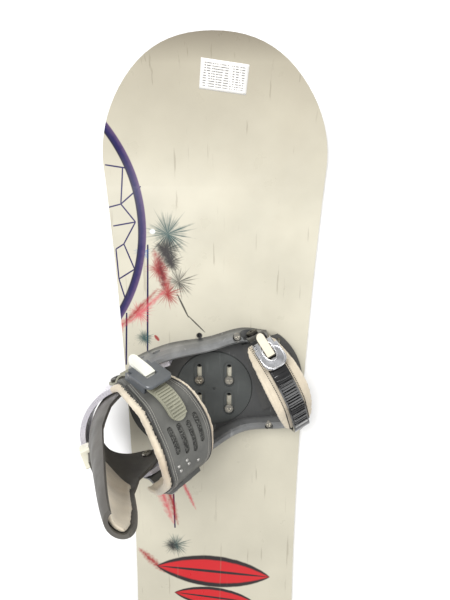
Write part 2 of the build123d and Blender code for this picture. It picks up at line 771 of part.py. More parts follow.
def buckle_frame(width):
    """Channel that the ladder runs through, with the holes for two pins."""
    half = FRAME_L / 2
    body = block(-half + 3, half - 3, -width / 2, width / 2, 0.1, WALL_T)
    wall = block(-half, half - 2, width / 2 - WALL_T, width / 2, 0.1, FRAME_H)
    wall = fillet(wall.edges().filter_by(Axis.Y).group_by(Axis.Z)[-1], 4)
    for item in both_sides(wall):
        body += item
    for x in (LEVER_PIN_X, RELEASE_PIN_X):
        body -= rod((x, -50, PIN_Z), (0, 1, 0), PIN_R, 100)
    return body


def buckle_lever(width, reach, nose_r, tongue_w):
    """Ratchet lever: a cover with two ears on its pin and a slot for the release tongue."""
    z0 = FRAME_H + LEVER_PLAY
    inner = width / 2 - WALL_T - 0.5
    slot = tongue_w / 2 + 0.7
    cover = Pos((reach - 6) / 2, 0) * Rectangle(reach + 6, width + 5)
    cover = fillet(cover.vertices().group_by(Axis.X)[-1], nose_r)
    cover += Pos((-6 + LEVER_PIN_X - 2) / 2, 0) * Rectangle(-6 - LEVER_PIN_X + 2.02, 2 * inner)
    cover -= Pos(-6.5, 0) * Rectangle(35, 2 * slot)
    body = slab(cover, z0, z0 + LEVER_T)
    body = chamfer(body.edges().group_by(Axis.Z)[-1], 0.8)
    for side in (1, -1):
        y0 = side * slot
        y1 = side * inner
        ear = block(LEVER_PIN_X - 2.0, LEVER_PIN_X + 4.5, min(y0, y1), max(y0, y1), PIN_Z, z0 + 0.5)
        ear += rod((LEVER_PIN_X, y0, PIN_Z), (0, side, 0), 2.7, abs(y1 - y0))
        body += ear
    return body - rod((LEVER_PIN_X, -50, PIN_Z), (0, 1, 0), PIN_R + PIN_FIT, 100)


def buckle_release(reach, tongue_w):
    """Release tongue on its pin, with a thumb pad that sticks out past the lever."""
    half = tongue_w / 2
    points = [(7, 12.6), (7.5, 15.5), (0, 17.2), (reach + 5, 18.5), (reach, 22), (reach - 1.5, 20.5),
              (reach + 5, 15.6), (-4, 12.6)]
    side_view = Plane(origin=(0, half, 0), x_dir=(1, 0, 0), z_dir=(0, -1, 0))
    body = extrude(side_view * make_face(Polyline(*points, close=True)), amount=tongue_w)
    body += rod((RELEASE_PIN_X, -half, PIN_Z), (0, 1, 0), 2.9, tongue_w)
    body += block(RELEASE_PIN_X - 2.6, RELEASE_PIN_X + 2.6, -half, half, PIN_Z, 13)
    outline = block(reach + half, 20, -half, half, 0, 40)
    outline += rod((reach + half, 0, 0), (0, 0, 1), half, 40)
    body = body & outline
    return body - rod((RELEASE_PIN_X, -50, PIN_Z), (0, 1, 0), PIN_R + PIN_FIT, 100)


def buckle_pins(width):
    """The two hinge pins of a buckle."""
    return [rod((x, -width / 2, PIN_Z), (0, 1, 0), PIN_R, width) for x in (LEVER_PIN_X, RELEASE_PIN_X)]


def build_buckle(name, spot, width, reach, nose_r, tongue, tongue_w):
    """All pieces of one buckle, moved to their strap."""
    save_pair(spot * buckle_frame(width), f"{name}_buckle_frame")
    save_pair(spot * buckle_lever(width, reach, nose_r, tongue_w), f"{name}_buckle_lever")
    save_pair(spot * buckle_release(tongue, tongue_w), f"{name}_release")
    pins = [spot * pin for pin in buckle_pins(width)]
    save([place(pin) for pin in pins], f"front_{name}_buckle_pins")
    save([place(pin, rear=True) for pin in pins], f"rear_{name}_buckle_pins")


# ---------------------------------------------------------------- build everything
def build_bindings():
    save_pair(baseplate(), "baseplate")
    save_pair(slotted_plate(*TOE_PLATE), "toe_ramp")
    save_pair(slotted_plate(*HEEL_PLATE), "heel_plate")
    save(place_square(disc()), "front_disc")
    save(place_square(disc(), rear=True), "rear_disc")
    save(disc_screws(), "disc_screws")
    save_pair(hoop(), "hoop")
    save(hoop_screws(), "hoop_screws")
    save(rail_screws(), "rail_screws")
    save(highback_pivots(), "highback_pivots")
    save(ankle_bolts(), "ankle_bolts")
    save(toe_bolts(), "toe_bolts")
    save_pair(highback_shell(), "highback")
    save_pair(highback_liner(), "highback_liner")
    save_pair(lean_adjuster(), "lean_adjuster")


def build_straps():
    ankle = ankle_plane().location
    toe = toe_plane().location
    save_pair(ankle * ankle_pad(), "ankle_pad")
    save_pair(ankle * ankle_shell(), "ankle_shell")
    save_pair(ankle * ankle_ladder(), "ankle_ladder")
    save_pair(ankle * ankle_connector(), "ankle_connector")
    save_pair(toe * toe_pad(), "toe_pad")
    save_pair(toe * toe_ladder(), "toe_ladder")
    save_pair(toe * toe_connector(), "toe_connector")
    ankle_spot = ankle * buckle_plane(ankle_path(), 2, -4).location
    toe_spot = toe * buckle_plane(toe_path(), 1).location
    build_buckle("ankle", ankle_spot, ANKLE_BUCKLE_W, ANKLE_LEVER_REACH, ANKLE_NOSE_R,
                 ANKLE_TONGUE_END, ANKLE_TONGUE_W)
    build_buckle("toe", toe_spot, TOE_BUCKLE_W, TOE_LEVER_REACH, TOE_NOSE_R,
                 TOE_TONGUE_END, TOE_TONGUE_W)


if __name__ == "__main__":
    os.makedirs("parts", exist_ok=True)
    with SkipClean():
        build_board()
    build_bindings()
    build_straps()
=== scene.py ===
"""Looks for a snowboard with two strap bindings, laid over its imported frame. Lengths are in metres."""
import math

import bmesh
import bpy
from bpy.props import FloatProperty, FloatVectorProperty, PointerProperty
from mathutils import Matrix, Vector, noise


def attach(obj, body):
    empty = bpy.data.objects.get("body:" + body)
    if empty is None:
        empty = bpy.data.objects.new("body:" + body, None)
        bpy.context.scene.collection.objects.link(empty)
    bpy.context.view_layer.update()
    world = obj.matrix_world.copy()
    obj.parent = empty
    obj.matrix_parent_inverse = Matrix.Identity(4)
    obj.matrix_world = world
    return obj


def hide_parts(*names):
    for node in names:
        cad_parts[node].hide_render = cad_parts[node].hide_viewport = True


bl_info = {
    "name": "Snowboard with bindings",
    "version": (1, 0, 0),
    "blender": (4, 5, 0),
    "location": "3D View > Sidebar > Snowboard",
    "description": "Builds the finishes, padding and trim of a snowboard and its two bindings",
    "category": "Add Mesh",
}

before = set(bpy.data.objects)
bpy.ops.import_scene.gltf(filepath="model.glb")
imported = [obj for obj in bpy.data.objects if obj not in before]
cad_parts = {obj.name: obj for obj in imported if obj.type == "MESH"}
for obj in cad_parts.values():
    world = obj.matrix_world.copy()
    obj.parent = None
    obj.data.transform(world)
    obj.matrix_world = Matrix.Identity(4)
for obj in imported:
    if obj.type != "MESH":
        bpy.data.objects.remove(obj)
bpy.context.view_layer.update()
SIDES = ("front", "rear")

# Strap planes: origin on the bolt line, then across the boot, up, and along the strap's width.
ANKLE_PLANES = {
    "front": ((-.0951, .2401, .0682), (-.309, .9511, 0), (.7134, .2318, .6613), (.6289, .2044, -.7501)),
    "rear": ((-.0995, -.2605, .0682), (-.1045, -.9945, 0), (.746, -.0784, .6613), (.6577, -.0691, -.7501)),
}
TOE_PLANES = {
    "front": ((.0805, .2887, .0282), (-.4493, .8934, 0), (.2462, .1238, .9613), (.8588, .4319, -.2756)),
    "rear": ((.0824, -.2716, .0282), (-.2538, -.9673, 0), (.2666, -.0699, .9613), (.9298, -.2439, -.2756)),
}
# Toe buckles: origin on the strap, then along the strap, along its width, and outwards.
TOE_BUCKLES = {
    "front": ((.06807, .33176, .05703), (.5102, -.6712, .5378), (.8588, .4319, -.2756), (-.0473, .6025, .7967)),
    "rear": ((.07922, -.31628, .05703), (.3595, .7626, .5378), (.9298, -.2439, -.2756), (.079, -.5991, .7967)),
}
ARCH_CENTRE = .035   # height of the point that a strap's arch is measured round
TOE_CENTRE = -.02    # the same for the toe strap's flatter arch
BINS = 72            # steps of angle round an arch in which a pad's width is measured

LABEL_PLACE, LABEL_TURN, LABEL_SIZE = (.0125, .655), math.radians(-7), (.0275, .0145)   # half sizes
LABEL_LIFT = .00012
SEAM_INSETS = (.0030, .0056)     # stitch rows, measured in from the cover's edge
PAD_BORDER = .0058               # cream border left round an ankle pad's gritty face
RIVET_RADIUS, RIVET_HEIGHT = .0021, .0010
# Rivets on an ankle cover: angle round the arch in degrees, then distance along the width.
RIVETS = [(112, -.020), (118, -.018), (112, -.008), (117, -.006), (108, .005), (103, .017), (121, .008)]
RIB_FIRST, RIB_STEP, RIB_COUNT = 73, 4.5, 15     # toe ladder ribs, in degrees round the arch
RIB_SIZE, END_BAR_SIZE = (.0011, .0092, .0009), (.0016, .0092, .0014)
EDGING_OFFSET, EDGING_LENGTH, EDGING_THICK = .0142, .0013, .0017
# Plated rims on a toe lever: name, middle along the lever, half length, half width.
RIMS = [("outer", .0102, .0132, .0140), ("inner", .0018, .0125, .0078)]
RIM_LIFT, RIM_RADIUS, RIM_POINTS = .0164, .0009, 24

CAMERA_PLACE = (.03186, .49457, .58807)
CAMERA_RIGHT, CAMERA_DOWN, CAMERA_AHEAD = (.9995, .0041, -.0316), (.0096, -.9843, .1762), (-.0304, -.1764, -.9838)
CAMERA_LENS, CAMERA_SENSOR = 27.04, 36
# Studio lamps: name, place, size, share of the key light's power.
LAMPS = [("key_light", (-.7, 1.5, 2.1), 1.6, 1), ("fill_light", (1.6, -.3, 1.6), 1.8, .35)]


def srgb(red, green, blue):
    """Linear colour from ordinary 0 to 255 values."""
    return [(c / 255 / 12.92) if c < 10 else ((c / 255 + .055) / 1.055) ** 2.4 for c in (red, green, blue)] + [1]


def shade(colour, factor):
    """The same colour, lighter or darker."""
    return [min(1, c * factor) for c in colour[:3]] + [1]


# ---------------------------------------------------------------- finishes
class Finish:
    """One procedural material, built node by node on object coordinates."""

    def __init__(self, name, roughness=.5, metallic=0.0, sheen=0.0, coat=0.0):
        self.material = bpy.data.materials.new(name)
        self.material.use_nodes = True
        self.tree = self.material.node_tree
        self.surface = self.tree.nodes["Principled BSDF"]
        self.surface.inputs["Roughness"].default_value = roughness
        self.surface.inputs["Metallic"].default_value = metallic
        self.surface.inputs["Sheen Weight"].default_value = sheen
        self.surface.inputs["Coat Weight"].default_value = coat
        self.place = self.tree.nodes.new("ShaderNodeTexCoord").outputs["Object"]
        self.last_bump = None

    def node(self, kind, inputs=(), **settings):
        made = self.tree.nodes.new("ShaderNode" + kind)
        for name, value in settings.items():
            setattr(made, name, value)
        for key, value in dict(inputs).items():
            if isinstance(value, bpy.types.NodeSocket):
                self.tree.links.new(value, made.inputs[key])
            else:
                made.inputs[key].default_value = value
        return made

    def turned(self, centre, angle, size):
        """Object coordinates measured from a centre, along an angle, in units of size."""
        inputs = {"Vector": self.place, "Location": centre, "Rotation": (0, 0, angle), "Scale": size}
        return self.node("Mapping", inputs, vector_type="TEXTURE").outputs[0]

    def noise(self, scale, detail=3.0, stretch=(1, 1, 1), where=None):
        place = self.node("Mapping", {"Vector": where or self.place, "Scale": stretch}).outputs[0]
        return self.node("TexNoise", {"Vector": place, "Scale": scale, "Detail": detail}).outputs[0]

    def wave(self, scale, axis="X", distortion=0.0, where=None):
        inputs = {"Vector": where or self.place, "Scale": scale, "Distortion": distortion}
        return self.node("TexWave", inputs, bands_direction=axis).outputs["Fac"]

    def math(self, operation, a, b=0.0, clamp=False):
        return self.node("Math", {0: a, 1: b}, operation=operation, use_clamp=clamp).outputs[0]

    def span(self, value, low, high, out_low=0.0, out_high=1.0):
        inputs = {0: value, 1: low, 2: high, 3: out_low, 4: out_high}
        return self.node("MapRange", inputs, clamp=True).outputs[0]

    def mix(self, factor, a, b):
        return self.node("Mix", {0: factor, 6: a, 7: b}, data_type="RGBA").outputs[2]

    def colour(self, value):
        self.tree.links.new(value, self.surface.inputs["Base Color"])

    def gloss(self, value):
        self.tree.links.new(value, self.surface.inputs["Roughness"])

    def bump(self, height, strength, distance):
        inputs = {"Height": height, "Strength": strength, "Distance": distance}
        made = self.node("Bump", inputs)
        if self.last_bump:
            self.tree.links.new(self.last_bump, made.inputs["Normal"])
        self.last_bump = made.outputs[0]
        self.tree.links.new(self.last_bump, self.surface.inputs["Normal"])


def plastic(name, colour, roughness=.5, grain=.35, scuffs=.25, coat=0.0):
    """Moulded plastic: fine grain, slow change of tone, pale scuffs."""
    f = Finish(name, roughness, coat=coat)
    tone = f.span(f.noise(26, 4), .35, .65)
    base = f.mix(tone, shade(colour, .84), shade(colour, 1.12))
    marks = f.span(f.noise(170, 6, (1, .16, .5)), .63, .74, 0, scuffs)
    f.colour(f.mix(marks, base, shade(colour, 2.2)))
    f.gloss(f.span(f.noise(60, 4), .3, .7, roughness - .09, roughness + .12))
    f.bump(f.noise(1500, 2), grain, .00012)
    f.bump(f.noise(90, 3), grain * .4, .0003)
    return f.material


def rail_plastic(colour):
    """Baseplate plastic: pebbled floor darkened with painted shade, polished rails with blotches of painted
    highlight on their tops.
    """
    f = Finish("baseplate_grey", .4, coat=.2)
    height = f.node("SeparateXYZ", {0: f.place}).outputs[2]
    tone = f.mix(f.span(f.noise(26, 4), .35, .65), shade(colour, .8), shade(colour, 1.1))
    # Painted shade: everything below the rail tops is darkened by height, so the low floor reads dark.
    base = f.mix(f.span(height, .0135, .022), shade(colour, .36), tone)
    # Painted highlight: the rail tops are lightened in noisy blotches by height.
    rail_top_highlight = f.math("MULTIPLY", f.span(height, .019, .030), f.span(f.noise(36, 6, (1, 1, .4)), .5, .74, 0, .5))
    base = f.mix(rail_top_highlight, base, shade(colour, 2.1))
    scratches = f.span(f.noise(150, 7, (1, .2, .6)), .64, .72, 0, .4)
    f.colour(f.mix(scratches, base, shade(colour, 2.3)))
    f.gloss(f.span(f.noise(60, 4), .3, .7, .3, .5))
    f.bump(f.noise(1400, 2), .3, .00012)
    f.bump(f.noise(80, 4), .15, .0004)
    return f.material


def metal(name, colour, roughness=.3, brushed=(1, 8, 1), metallic=1.0):
    """Metal with fine brush lines, dull patches and small dents."""
    f = Finish(name, roughness, metallic)
    lines = f.noise(700, 3, brushed)
    f.colour(f.mix(f.span(f.noise(40, 4), .35, .7), shade(colour, .82), colour))
    f.gloss(f.span(lines, .3, .7, roughness - .08, roughness + .14))
    f.bump(lines, .12, .00008)
    f.bump(f.noise(120, 2), .1, .0002)
    return f.material


def polished(name, colour):
    """Bright plated metal with faint handling marks."""
    f = Finish(name, .2, .85, coat=.3)
    f.colour(f.mix(f.span(f.noise(55, 4), .35, .7), shade(colour, .72), colour))
    f.gloss(f.span(f.noise(90, 5), .35, .7, .14, .34))
    f.bump(f.noise(60, 2), .06, .0003)
    return f.material


def cloth(name, colour, pitch=1700, soil=None, wrinkle=.5):
    """Woven lining: crossed threads, soft sheen, wrinkles and soiled patches."""
    f = Finish(name, .85, sheen=.35)
    threads = f.math("ADD", f.wave(pitch, "X", 1.5), f.wave(pitch, "DIAGONAL", 1.5))
    tone = f.mix(f.span(f.noise(30, 5), .35, .68), shade(colour, .8), shade(colour, 1.08))
    if soil:
        tone = f.mix(f.span(f.noise(14, 5), .48, .74, 0, .6), tone, soil)
    f.colour(f.mix(f.span(threads, .2, 1.6, 0, .16), tone, shade(colour, .55)))
    f.bump(threads, .3, .0002)
    f.bump(f.noise(70, 4, (1, 1, .5)), wrinkle, .0012)
    return f.material


def hide(name, colour):
    """Coated synthetic leather with pebble grain."""
    f = Finish(name, .58, coat=.04)
    cells = f.node("TexVoronoi", {"Vector": f.place, "Scale": 900}, feature="SMOOTH_F1").outputs[0]
    f.colour(f.mix(f.span(f.noise(40, 4), .35, .7), shade(colour, .75), shade(colour, 1.2)))
    f.gloss(f.span(f.noise(120, 3), .3, .7, .48, .7))
    f.bump(cells, .5, .0003)
    f.bump(f.noise(60, 3), .35, .0008)
    return f.material


def grit(name, colour):
    """Rough speckled weave that shows through the cover's windows."""
    f = Finish(name, .8)
    specks = f.node("TexVoronoi", {"Vector": f.place, "Scale": 620}).outputs[0]
    f.colour(f.mix(f.span(specks, .15, .6), shade(colour, 2.6), shade(colour, .5)))
    f.bump(specks, .9, .0006)
    return f.material


def timber(name, colour):
    """Pale wood with long grain."""
    f = Finish(name, .6)
    rings = f.wave(120, "X", 3.0, f.node("Mapping", {"Vector": f.place, "Scale": (1, .05, 1)}).outputs[0])
    f.colour(f.mix(rings, shade(colour, .7), colour))
    f.bump(rings, .2, .0002)
    return f.material


# Printing inks of the top sheet.
PURPLE = srgb(24, 12, 78)
MAUVE = srgb(98, 76, 112)
RED = srgb(150, 16, 24)
MAROON = srgb(96, 16, 22)
PETAL_RED = srgb(196, 34, 40)
PINK = srgb(196, 84, 92)
TEAL = srgb(12, 66, 68)
BLUE = srgb(20, 96, 160)
BEAD = srgb(214, 218, 216)
DARK = srgb(16, 15, 19)
INK = srgb(40, 34, 36)
THREAD_HALF, STRAND_HALF = .0011, .0014
HOOP_CENTRE, HOOP_RADIUS, HOOP_HALF = (-.300, .482), .2072, .0058
# Threads of the web inside the hoop, and the strands that hang from it: start, end.
WEB = [
    ((-.137, .561), (-.110, .557)), ((-.115, .558), (-.119, .513)), ((-.119, .513), (-.093, .535)),
    ((-.150, .505), (-.119, .513)), ((-.119, .513), (-.101, .4906)), ((-.101, .4906), (-.117, .4626)),
    ((-.130, .4854), (-.101, .4906)), ((-.117, .4626), (-.1275, .456)), ((-.117, .4626), (-.104, .430)),
    ((-.1275, .456), (-.125, .417)), ((-.104, .430), (-.125, .417)), ((-.125, .417), (-.116, .385)),
]
STRANDS = [
    ((-.086, .462), (-.090, .318)), ((-.1165, .372), (-.1195, .300)), ((-.060, .185), (-.057, .055)),
]
# Fans of fine barbs: centre, radius, colour, how much of it is solid.
FANS = [
    ((-.062, .398), .026, RED, .15), ((-.074, .430), .022, RED, .2), ((-.100, .372), .024, PINK, .1),
    ((-.060, .476), .040, TEAL, .25), ((-.094, .452), .015, BLUE, .2), ((-.047, .414), .030, DARK, .05),
    ((-.062, .456), .024, DARK, .5), ((-.057, .440), .020, DARK, .4), ((-.094, .338), .016, TEAL, .4),
    ((-.056, .028), .026, TEAL, .2), ((-.062, .026), .018, DARK, .3), ((-.108, .150), .020, PINK, .3),
]
# Feather strokes: start, end, half width, colour, edge fuzz, softness, taper.
PLUMES = [
    ((-.074, .466), (-.050, .428), .010, INK, .9, .8, .5), ((-.079, .458), (-.056, .386), .011, RED, .9, .9, .5),
    ((-.072, .452), (-.066, .402), .008, MAROON, .9, .9, .5), ((-.062, .404), (-.122, .352), .006, PINK, .9, .9, .5),
    ((-.072, .406), (-.132, .346), .005, RED, .9, .9, .5), ((-.120, .366), (-.134, .326), .006, PINK, .9, .9, .6),
    ((-.049, .398), (-.034, .366), .0016, DARK, .3, .5, .3), ((-.036, .370), (-.012, .346), .0012, DARK, .3, .5, .3),
    ((-.080, .342), (-.074, .334), .003, RED, .6, .5, .3), ((-.088, .150), (-.058, .060), .009, PINK, .9, .9, .5),
    ((-.070, .140), (-.052, .058), .006, RED, .9, .8, .5), ((-.050, .140), (-.026, .084), .004, PINK, .9, .8, .5),
    ((-.112, .022), (-.072, -.020), .008, RED, .9, .8, .5),
]
# Outlined petals: start, end, half width.
PETALS = [((-.086, -.008), (.082, -.022), .027), ((-.060, -.052), (.060, -.066), .018)]


def stroke(f, base, start, end, half, colour, fuzz=0.0, soft=.1, taper=.5, strength=1.0):
    """Lays one printed stroke over a colour: a long lens between two points with feathered sides."""
    dx, dy = end[0] - start[0], end[1] - start[1]
    middle = ((start[0] + end[0]) / 2, (start[1] + end[1]) / 2, 0)
    size = (math.hypot(dx, dy) / 2, half, 1)
    uv = f.turned(middle, math.atan2(dy, dx), size)
    axes = f.node("SeparateXYZ", {0: uv})
    along = f.math("MULTIPLY", axes.outputs[0], axes.outputs[0])
    limit = f.math("POWER", f.math("SUBTRACT", 1.0, along, clamp=True), taper)
    reach = f.math("ABSOLUTE", axes.outputs[1])
    if fuzz:
        barbs = f.noise(3.2, 4, (2.2, .55, 1), uv)
        reach = f.math("ADD", reach, f.math("MULTIPLY", f.math("SUBTRACT", barbs, .42), fuzz * 1.5))
    mask = f.span(f.math("SUBTRACT", limit, reach), 0, soft, 0, strength)
    return f.mix(mask, base, colour)


def polar(f, centre, radius):
    """The place measured from a centre, in units of a radius: as a vector, flattened, and its length."""
    uv = f.turned((*centre, 0), 0, (radius, radius, 1))
    axes = f.node("SeparateXYZ", {0: uv})
    flat = f.node("CombineXYZ", {0: axes.outputs[0], 1: axes.outputs[1]}).outputs[0]
    return uv, flat, f.node("VectorMath", {0: flat}, operation="LENGTH").outputs["Value"]


def hoop_band(f, base, centre, radius, half, colour):
    """A printed circular band: dark inside, ragged and paler outside."""
    _, _, length = polar(f, centre, 1)
    off = f.math("SUBTRACT", length, radius)
    band = f.mix(f.span(off, -half, -half * .2), shade(colour, .12), colour)
    ragged = f.math("ADD", off, f.math("MULTIPLY", f.noise(160, 4), half * .5))
    band = f.mix(f.span(ragged, half * .2, half * 1.1, 0, .8), band, MAUVE)
    return f.mix(f.span(f.math("ABSOLUTE", off), half, half * .82), base, band)


def barb_fan(f, base, centre, radius, colour, solid):
    """A soft printed fan of barbs that spread from one point."""
    uv, flat, length = polar(f, centre, radius)
    unit = f.node("VectorMath", {0: flat}, operation="NORMALIZE").outputs[0]
    barbs = f.noise(9, 4, (1, 1, 1), unit)
    wisps = f.noise(3, 3, (1, 1, 1), uv)
    uneven = f.math("MULTIPLY", f.math("SUBTRACT", wisps, .5), .5)
    reach = f.math("ADD", f.span(barbs, .3, .7, solid, 1.0), uneven)
    return f.mix(f.span(f.math("SUBTRACT", reach, length), 0, .55, 0, .94), base, colour)


def printed_top(look):
    """Lacquered top sheet: warm off-white print, feathers and hoop, scuffs, and a ground that darkens towards the
    tip and slightly towards the tail.
    """
    f = Finish("topsheet_print", .34, coat=.18)
    pale = look.topsheet_colour[:]
    base = f.mix(f.span(f.noise(9, 6), .35, .7), shade(pale, .86), shade(pale, 1.03))
    base = f.mix(f.span(f.noise(4, 4, (1, .4, 1)), .52, .72, 0, .35), base, srgb(170, 160, 140))
    forward = f.node("SeparateXYZ", {0: f.place}).outputs[1]
    # The ground darkens towards the tip, most at its very end, and a little towards the tail.
    base = f.mix(f.span(forward, .50, .69, 0, .5), base, srgb(160, 149, 128))
    base = f.mix(f.span(forward, .668, .698, 0, .6), base, srgb(96, 84, 70))
    base = f.mix(f.span(forward, .42, -.10, 0, .22), base, srgb(168, 162, 144))
    for start, end in WEB:
        base = stroke(f, base, start, end, THREAD_HALF, PURPLE, 0, .3, .05)
    for start, end in STRANDS:
        base = stroke(f, base, start, end, STRAND_HALF, shade(PURPLE, .7), 0, .3, .05)
    for centre, radius, colour, solid in FANS:
        base = barb_fan(f, base, centre, radius, colour, solid)
    for start, end, half, colour, fuzz, soft, taper in PLUMES:
        base = stroke(f, base, start, end, half, colour, fuzz, soft, taper, .9)
    base = hoop_band(f, base, HOOP_CENTRE, HOOP_RADIUS, HOOP_HALF, PURPLE)
    base = stroke(f, base, (-.0835, .4787), (-.0755, .4787), .004, BEAD, 0, .4, .5)
    for start, end, half in PETALS:
        base = stroke(f, base, start, end, half, INK, .04, .08, .8)
        base = stroke(f, base, start, end, half * .74, PETAL_RED, .05, .12, .95)
        base = stroke(f, base, start, end, half * .10, INK, 0, .4, .6)
    hairs = f.span(f.noise(50, 8, (3.5, .22, 1)), .66, .70, 0, .35)
    base = f.mix(hairs, base, srgb(128, 118, 100))
    f.colour(base)
    f.gloss(f.span(f.noise(40, 6), .3, .7, .26, .48))
    f.bump(f.noise(60, 8, (3, .3, 1)), .12, .0002)
    f.bump(f.noise(700, 3), .08, .00008)
    return f.material


# ---------------------------------------------------------------- shared making
def paint(node, material):
    """Gives one CAD node its finish."""
    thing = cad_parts[node]
    if not thing.material_slots:
        thing.data.materials.append(material)
    for holder in thing.material_slots:
        holder.material = material


def add_piece(name, mesh, materials, body):
    """Links a smooth piece that rides on a body."""
    piece = bpy.data.objects.new(name, mesh)
    bpy.context.scene.collection.objects.link(piece)
    for material in materials:
        mesh.materials.append(material)
    for polygon in mesh.polygons:
        polygon.use_smooth = True
    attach(piece, body)
    return piece


def finish_mesh(name, bm, body, slot, *materials):
    """Turns a bmesh into a piece that rides on a body."""
    mesh = bpy.data.meshes.new(name)
    bm.to_mesh(mesh)
    bm.free()
    return add_piece(name, mesh, materials, body)


def skin_of(node, voxel):
    """Even closed skin over a copy of a CAD node, as a bmesh."""
    bm = bmesh.new()
    bm.from_mesh(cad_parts[node].data)
    bmesh.ops.remove_doubles(bm, verts=bm.verts, dist=1e-5)
    mesh = bpy.data.meshes.new("skin")
    bm.to_mesh(mesh)
    bm.free()
    holder = bpy.data.objects.new("skin", mesh)
    bpy.context.scene.collection.objects.link(holder)
    remesh = holder.modifiers.new("skin", "REMESH")
    remesh.mode = "VOXEL"
    remesh.voxel_size = voxel
    graph = bpy.context.evaluated_depsgraph_get()
    made = bpy.data.meshes.new_from_object(holder.evaluated_get(graph))
    bpy.data.objects.remove(holder)
    bm = bmesh.new()
    bm.from_mesh(made)
    for _ in range(4):
        bmesh.ops.smooth_vert(bm, verts=bm.verts, factor=.5, use_axis_x=True, use_axis_y=True, use_axis_z=True)
    bm.normal_update()
    return bm


def strap_place(plane, point):
    """A point in the strap's own plane: across, up, and along its width."""
    origin, across, up, wide = (Vector(v) for v in plane)
    away = Vector(point) - origin
    return away.dot(across), away.dot(up), away.dot(wide)


def strap_angle(across, up):
    """Angle round the arch's centre."""
    return math.atan2(up - ARCH_CENTRE, across)


def arch_bin(angle):
    """Which step of angle round the arch an angle falls in."""
    return int((angle + math.pi) / math.tau * BINS) % BINS


def half_widths(bm, plane):
    """Widest distance from the strap's middle line at each step round the arch."""
    widest = [0.0] * BINS
    for vert in bm.verts:
        across, up, wide = strap_place(plane, vert.co)
        index = arch_bin(strap_angle(across, up))
        widest[index] = max(widest[index], abs(wide))
    return widest


def swell_edges(bm, plane, roll, start, crease):
    """Rolls a pad's two long edges outwards and creases it just inside them."""
    widest = half_widths(bm, plane)
    shares = []
    for vert in bm.verts:
        across, up, wide = strap_place(plane, vert.co)
        shares.append(abs(wide) / max(.004, widest[arch_bin(strap_angle(across, up))]))
    for vert, share in zip(bm.verts, shares):
        rise = max(0, min(1, (share - start) / .08))
        groove = math.exp(-((share - start) / .025) ** 2)
        pucker = noise.noise(vert.co * 140) * .0003
        vert.co += vert.normal * (roll * rise * rise * (3 - 2 * rise) - crease * groove + pucker)


def soft_piece(name, bm, body, slot, node, fill, *materials):
    """A padded piece that stands in for a CAD node, subdivided once."""
    piece = finish_mesh(name, bm, body, slot, *materials)
    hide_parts(node)
    smooth = piece.modifiers.new("soft", "SUBSURF")
    smooth.levels = smooth.render_levels = 1
    return piece


def arch_hit(node, plane, angle, wide, centre=ARCH_CENTRE):
    """Where a line from outside the arch meets a CAD node or a piece, with the surface normal there."""
    origin, across, up, width = (Vector(v) for v in plane)
    out = across * math.cos(angle) + up * math.sin(angle)
    middle = origin + up * centre + width * wide
    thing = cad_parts.get(node) or bpy.data.objects[node]
    hit, point, normal, _ = thing.ray_cast(middle + out * .2, -out, distance=.19)
    return (point, normal) if hit else None


def edge_width(node, plane, angle, side):
    """Distance from the middle line to a cover's edge at one angle."""
    low, high = 0.0, .05
    for _ in range(9):
        middle = (low + high) / 2
        if arch_hit(node, plane, angle, side * middle):
            low = middle
        else:
            high = middle
    return low


def edge_line(node, plane, side, inset, first, last, count):
    """Points and normals along a cover's long edge, a set distance inside it."""
    found = []
    for i in range(count):
        angle = math.radians(first + (last - first) * i / (count - 1))
        width = edge_width(node, plane, angle, side) - inset
        hit = arch_hit(node, plane, angle, side * width) if width > .004 else None
        if hit:
            found.append(hit)
    return found


def cord_mesh(name, points, radius):
    """Round tube along points, as a mesh."""
    curve = bpy.data.curves.new(name, "CURVE")
    curve.dimensions = "3D"
    curve.bevel_depth = radius
    curve.bevel_resolution = 2
    curve.use_fill_caps = True
    spline = curve.splines.new("NURBS")
    spline.points.add(len(points) - 1)
    for spot, point in zip(spline.points, points):
        spot.co = (*point, 1)
    spline.order_u = 3
    spline.use_endpoint_u = True
    spline.resolution_u = 2
    holder = bpy.data.objects.new(name, curve)
    bpy.context.scene.collection.objects.link(holder)
    graph = bpy.context.evaluated_depsgraph_get()
    mesh = bpy.data.meshes.new_from_object(holder.evaluated_get(graph))
    bpy.data.objects.remove(holder)
    return mesh


def lay_stitches(bm, line, length, thick):
    """Raised thread stitches along a line of points and normals."""
    for (point, normal), (following, _) in zip(line[::2], line[1::2]):
        along = following - point
        if along.length < 1e-5 or along.length > .02:
            continue
        across = normal.cross(along.normalized())
        turn = Matrix((along.normalized(), across, normal)).transposed().to_4x4()
        place = Matrix.Translation((point + following) / 2 + normal * thick * .2) @ turn
        scale = Matrix.Diagonal((length / 2, thick / 2, thick / 2, 1))
        bmesh.ops.create_uvsphere(bm, u_segments=6, v_segments=4, radius=1, matrix=place @ scale)


def dome(bm, point, normal, radius, height):
    """Low rounded rivet head sitting on a surface."""
    turn = normal.to_track_quat("Z", "Y").to_matrix().to_4x4()
    place = Matrix.Translation(point) @ turn @ Matrix.Diagonal((radius, radius, height, 1))
    bmesh.ops.create_uvsphere(bm, u_segments=16, v_segments=8, radius=1, matrix=place)


# ---------------------------------------------------------------- settings
class BoardLook(bpy.types.PropertyGroup):
    """Colours of the board itself."""
    topsheet_colour: FloatVectorProperty(
        name="Top sheet", description="Ground colour of the print", subtype="COLOR", size=3,
        default=srgb(205, 200, 182)[:3], min=0, max=1)
    base_colour: FloatVectorProperty(
        name="Base", description="Colour of the running base", subtype="COLOR", size=3,
        default=(.02, .02, .022), min=0, max=1)


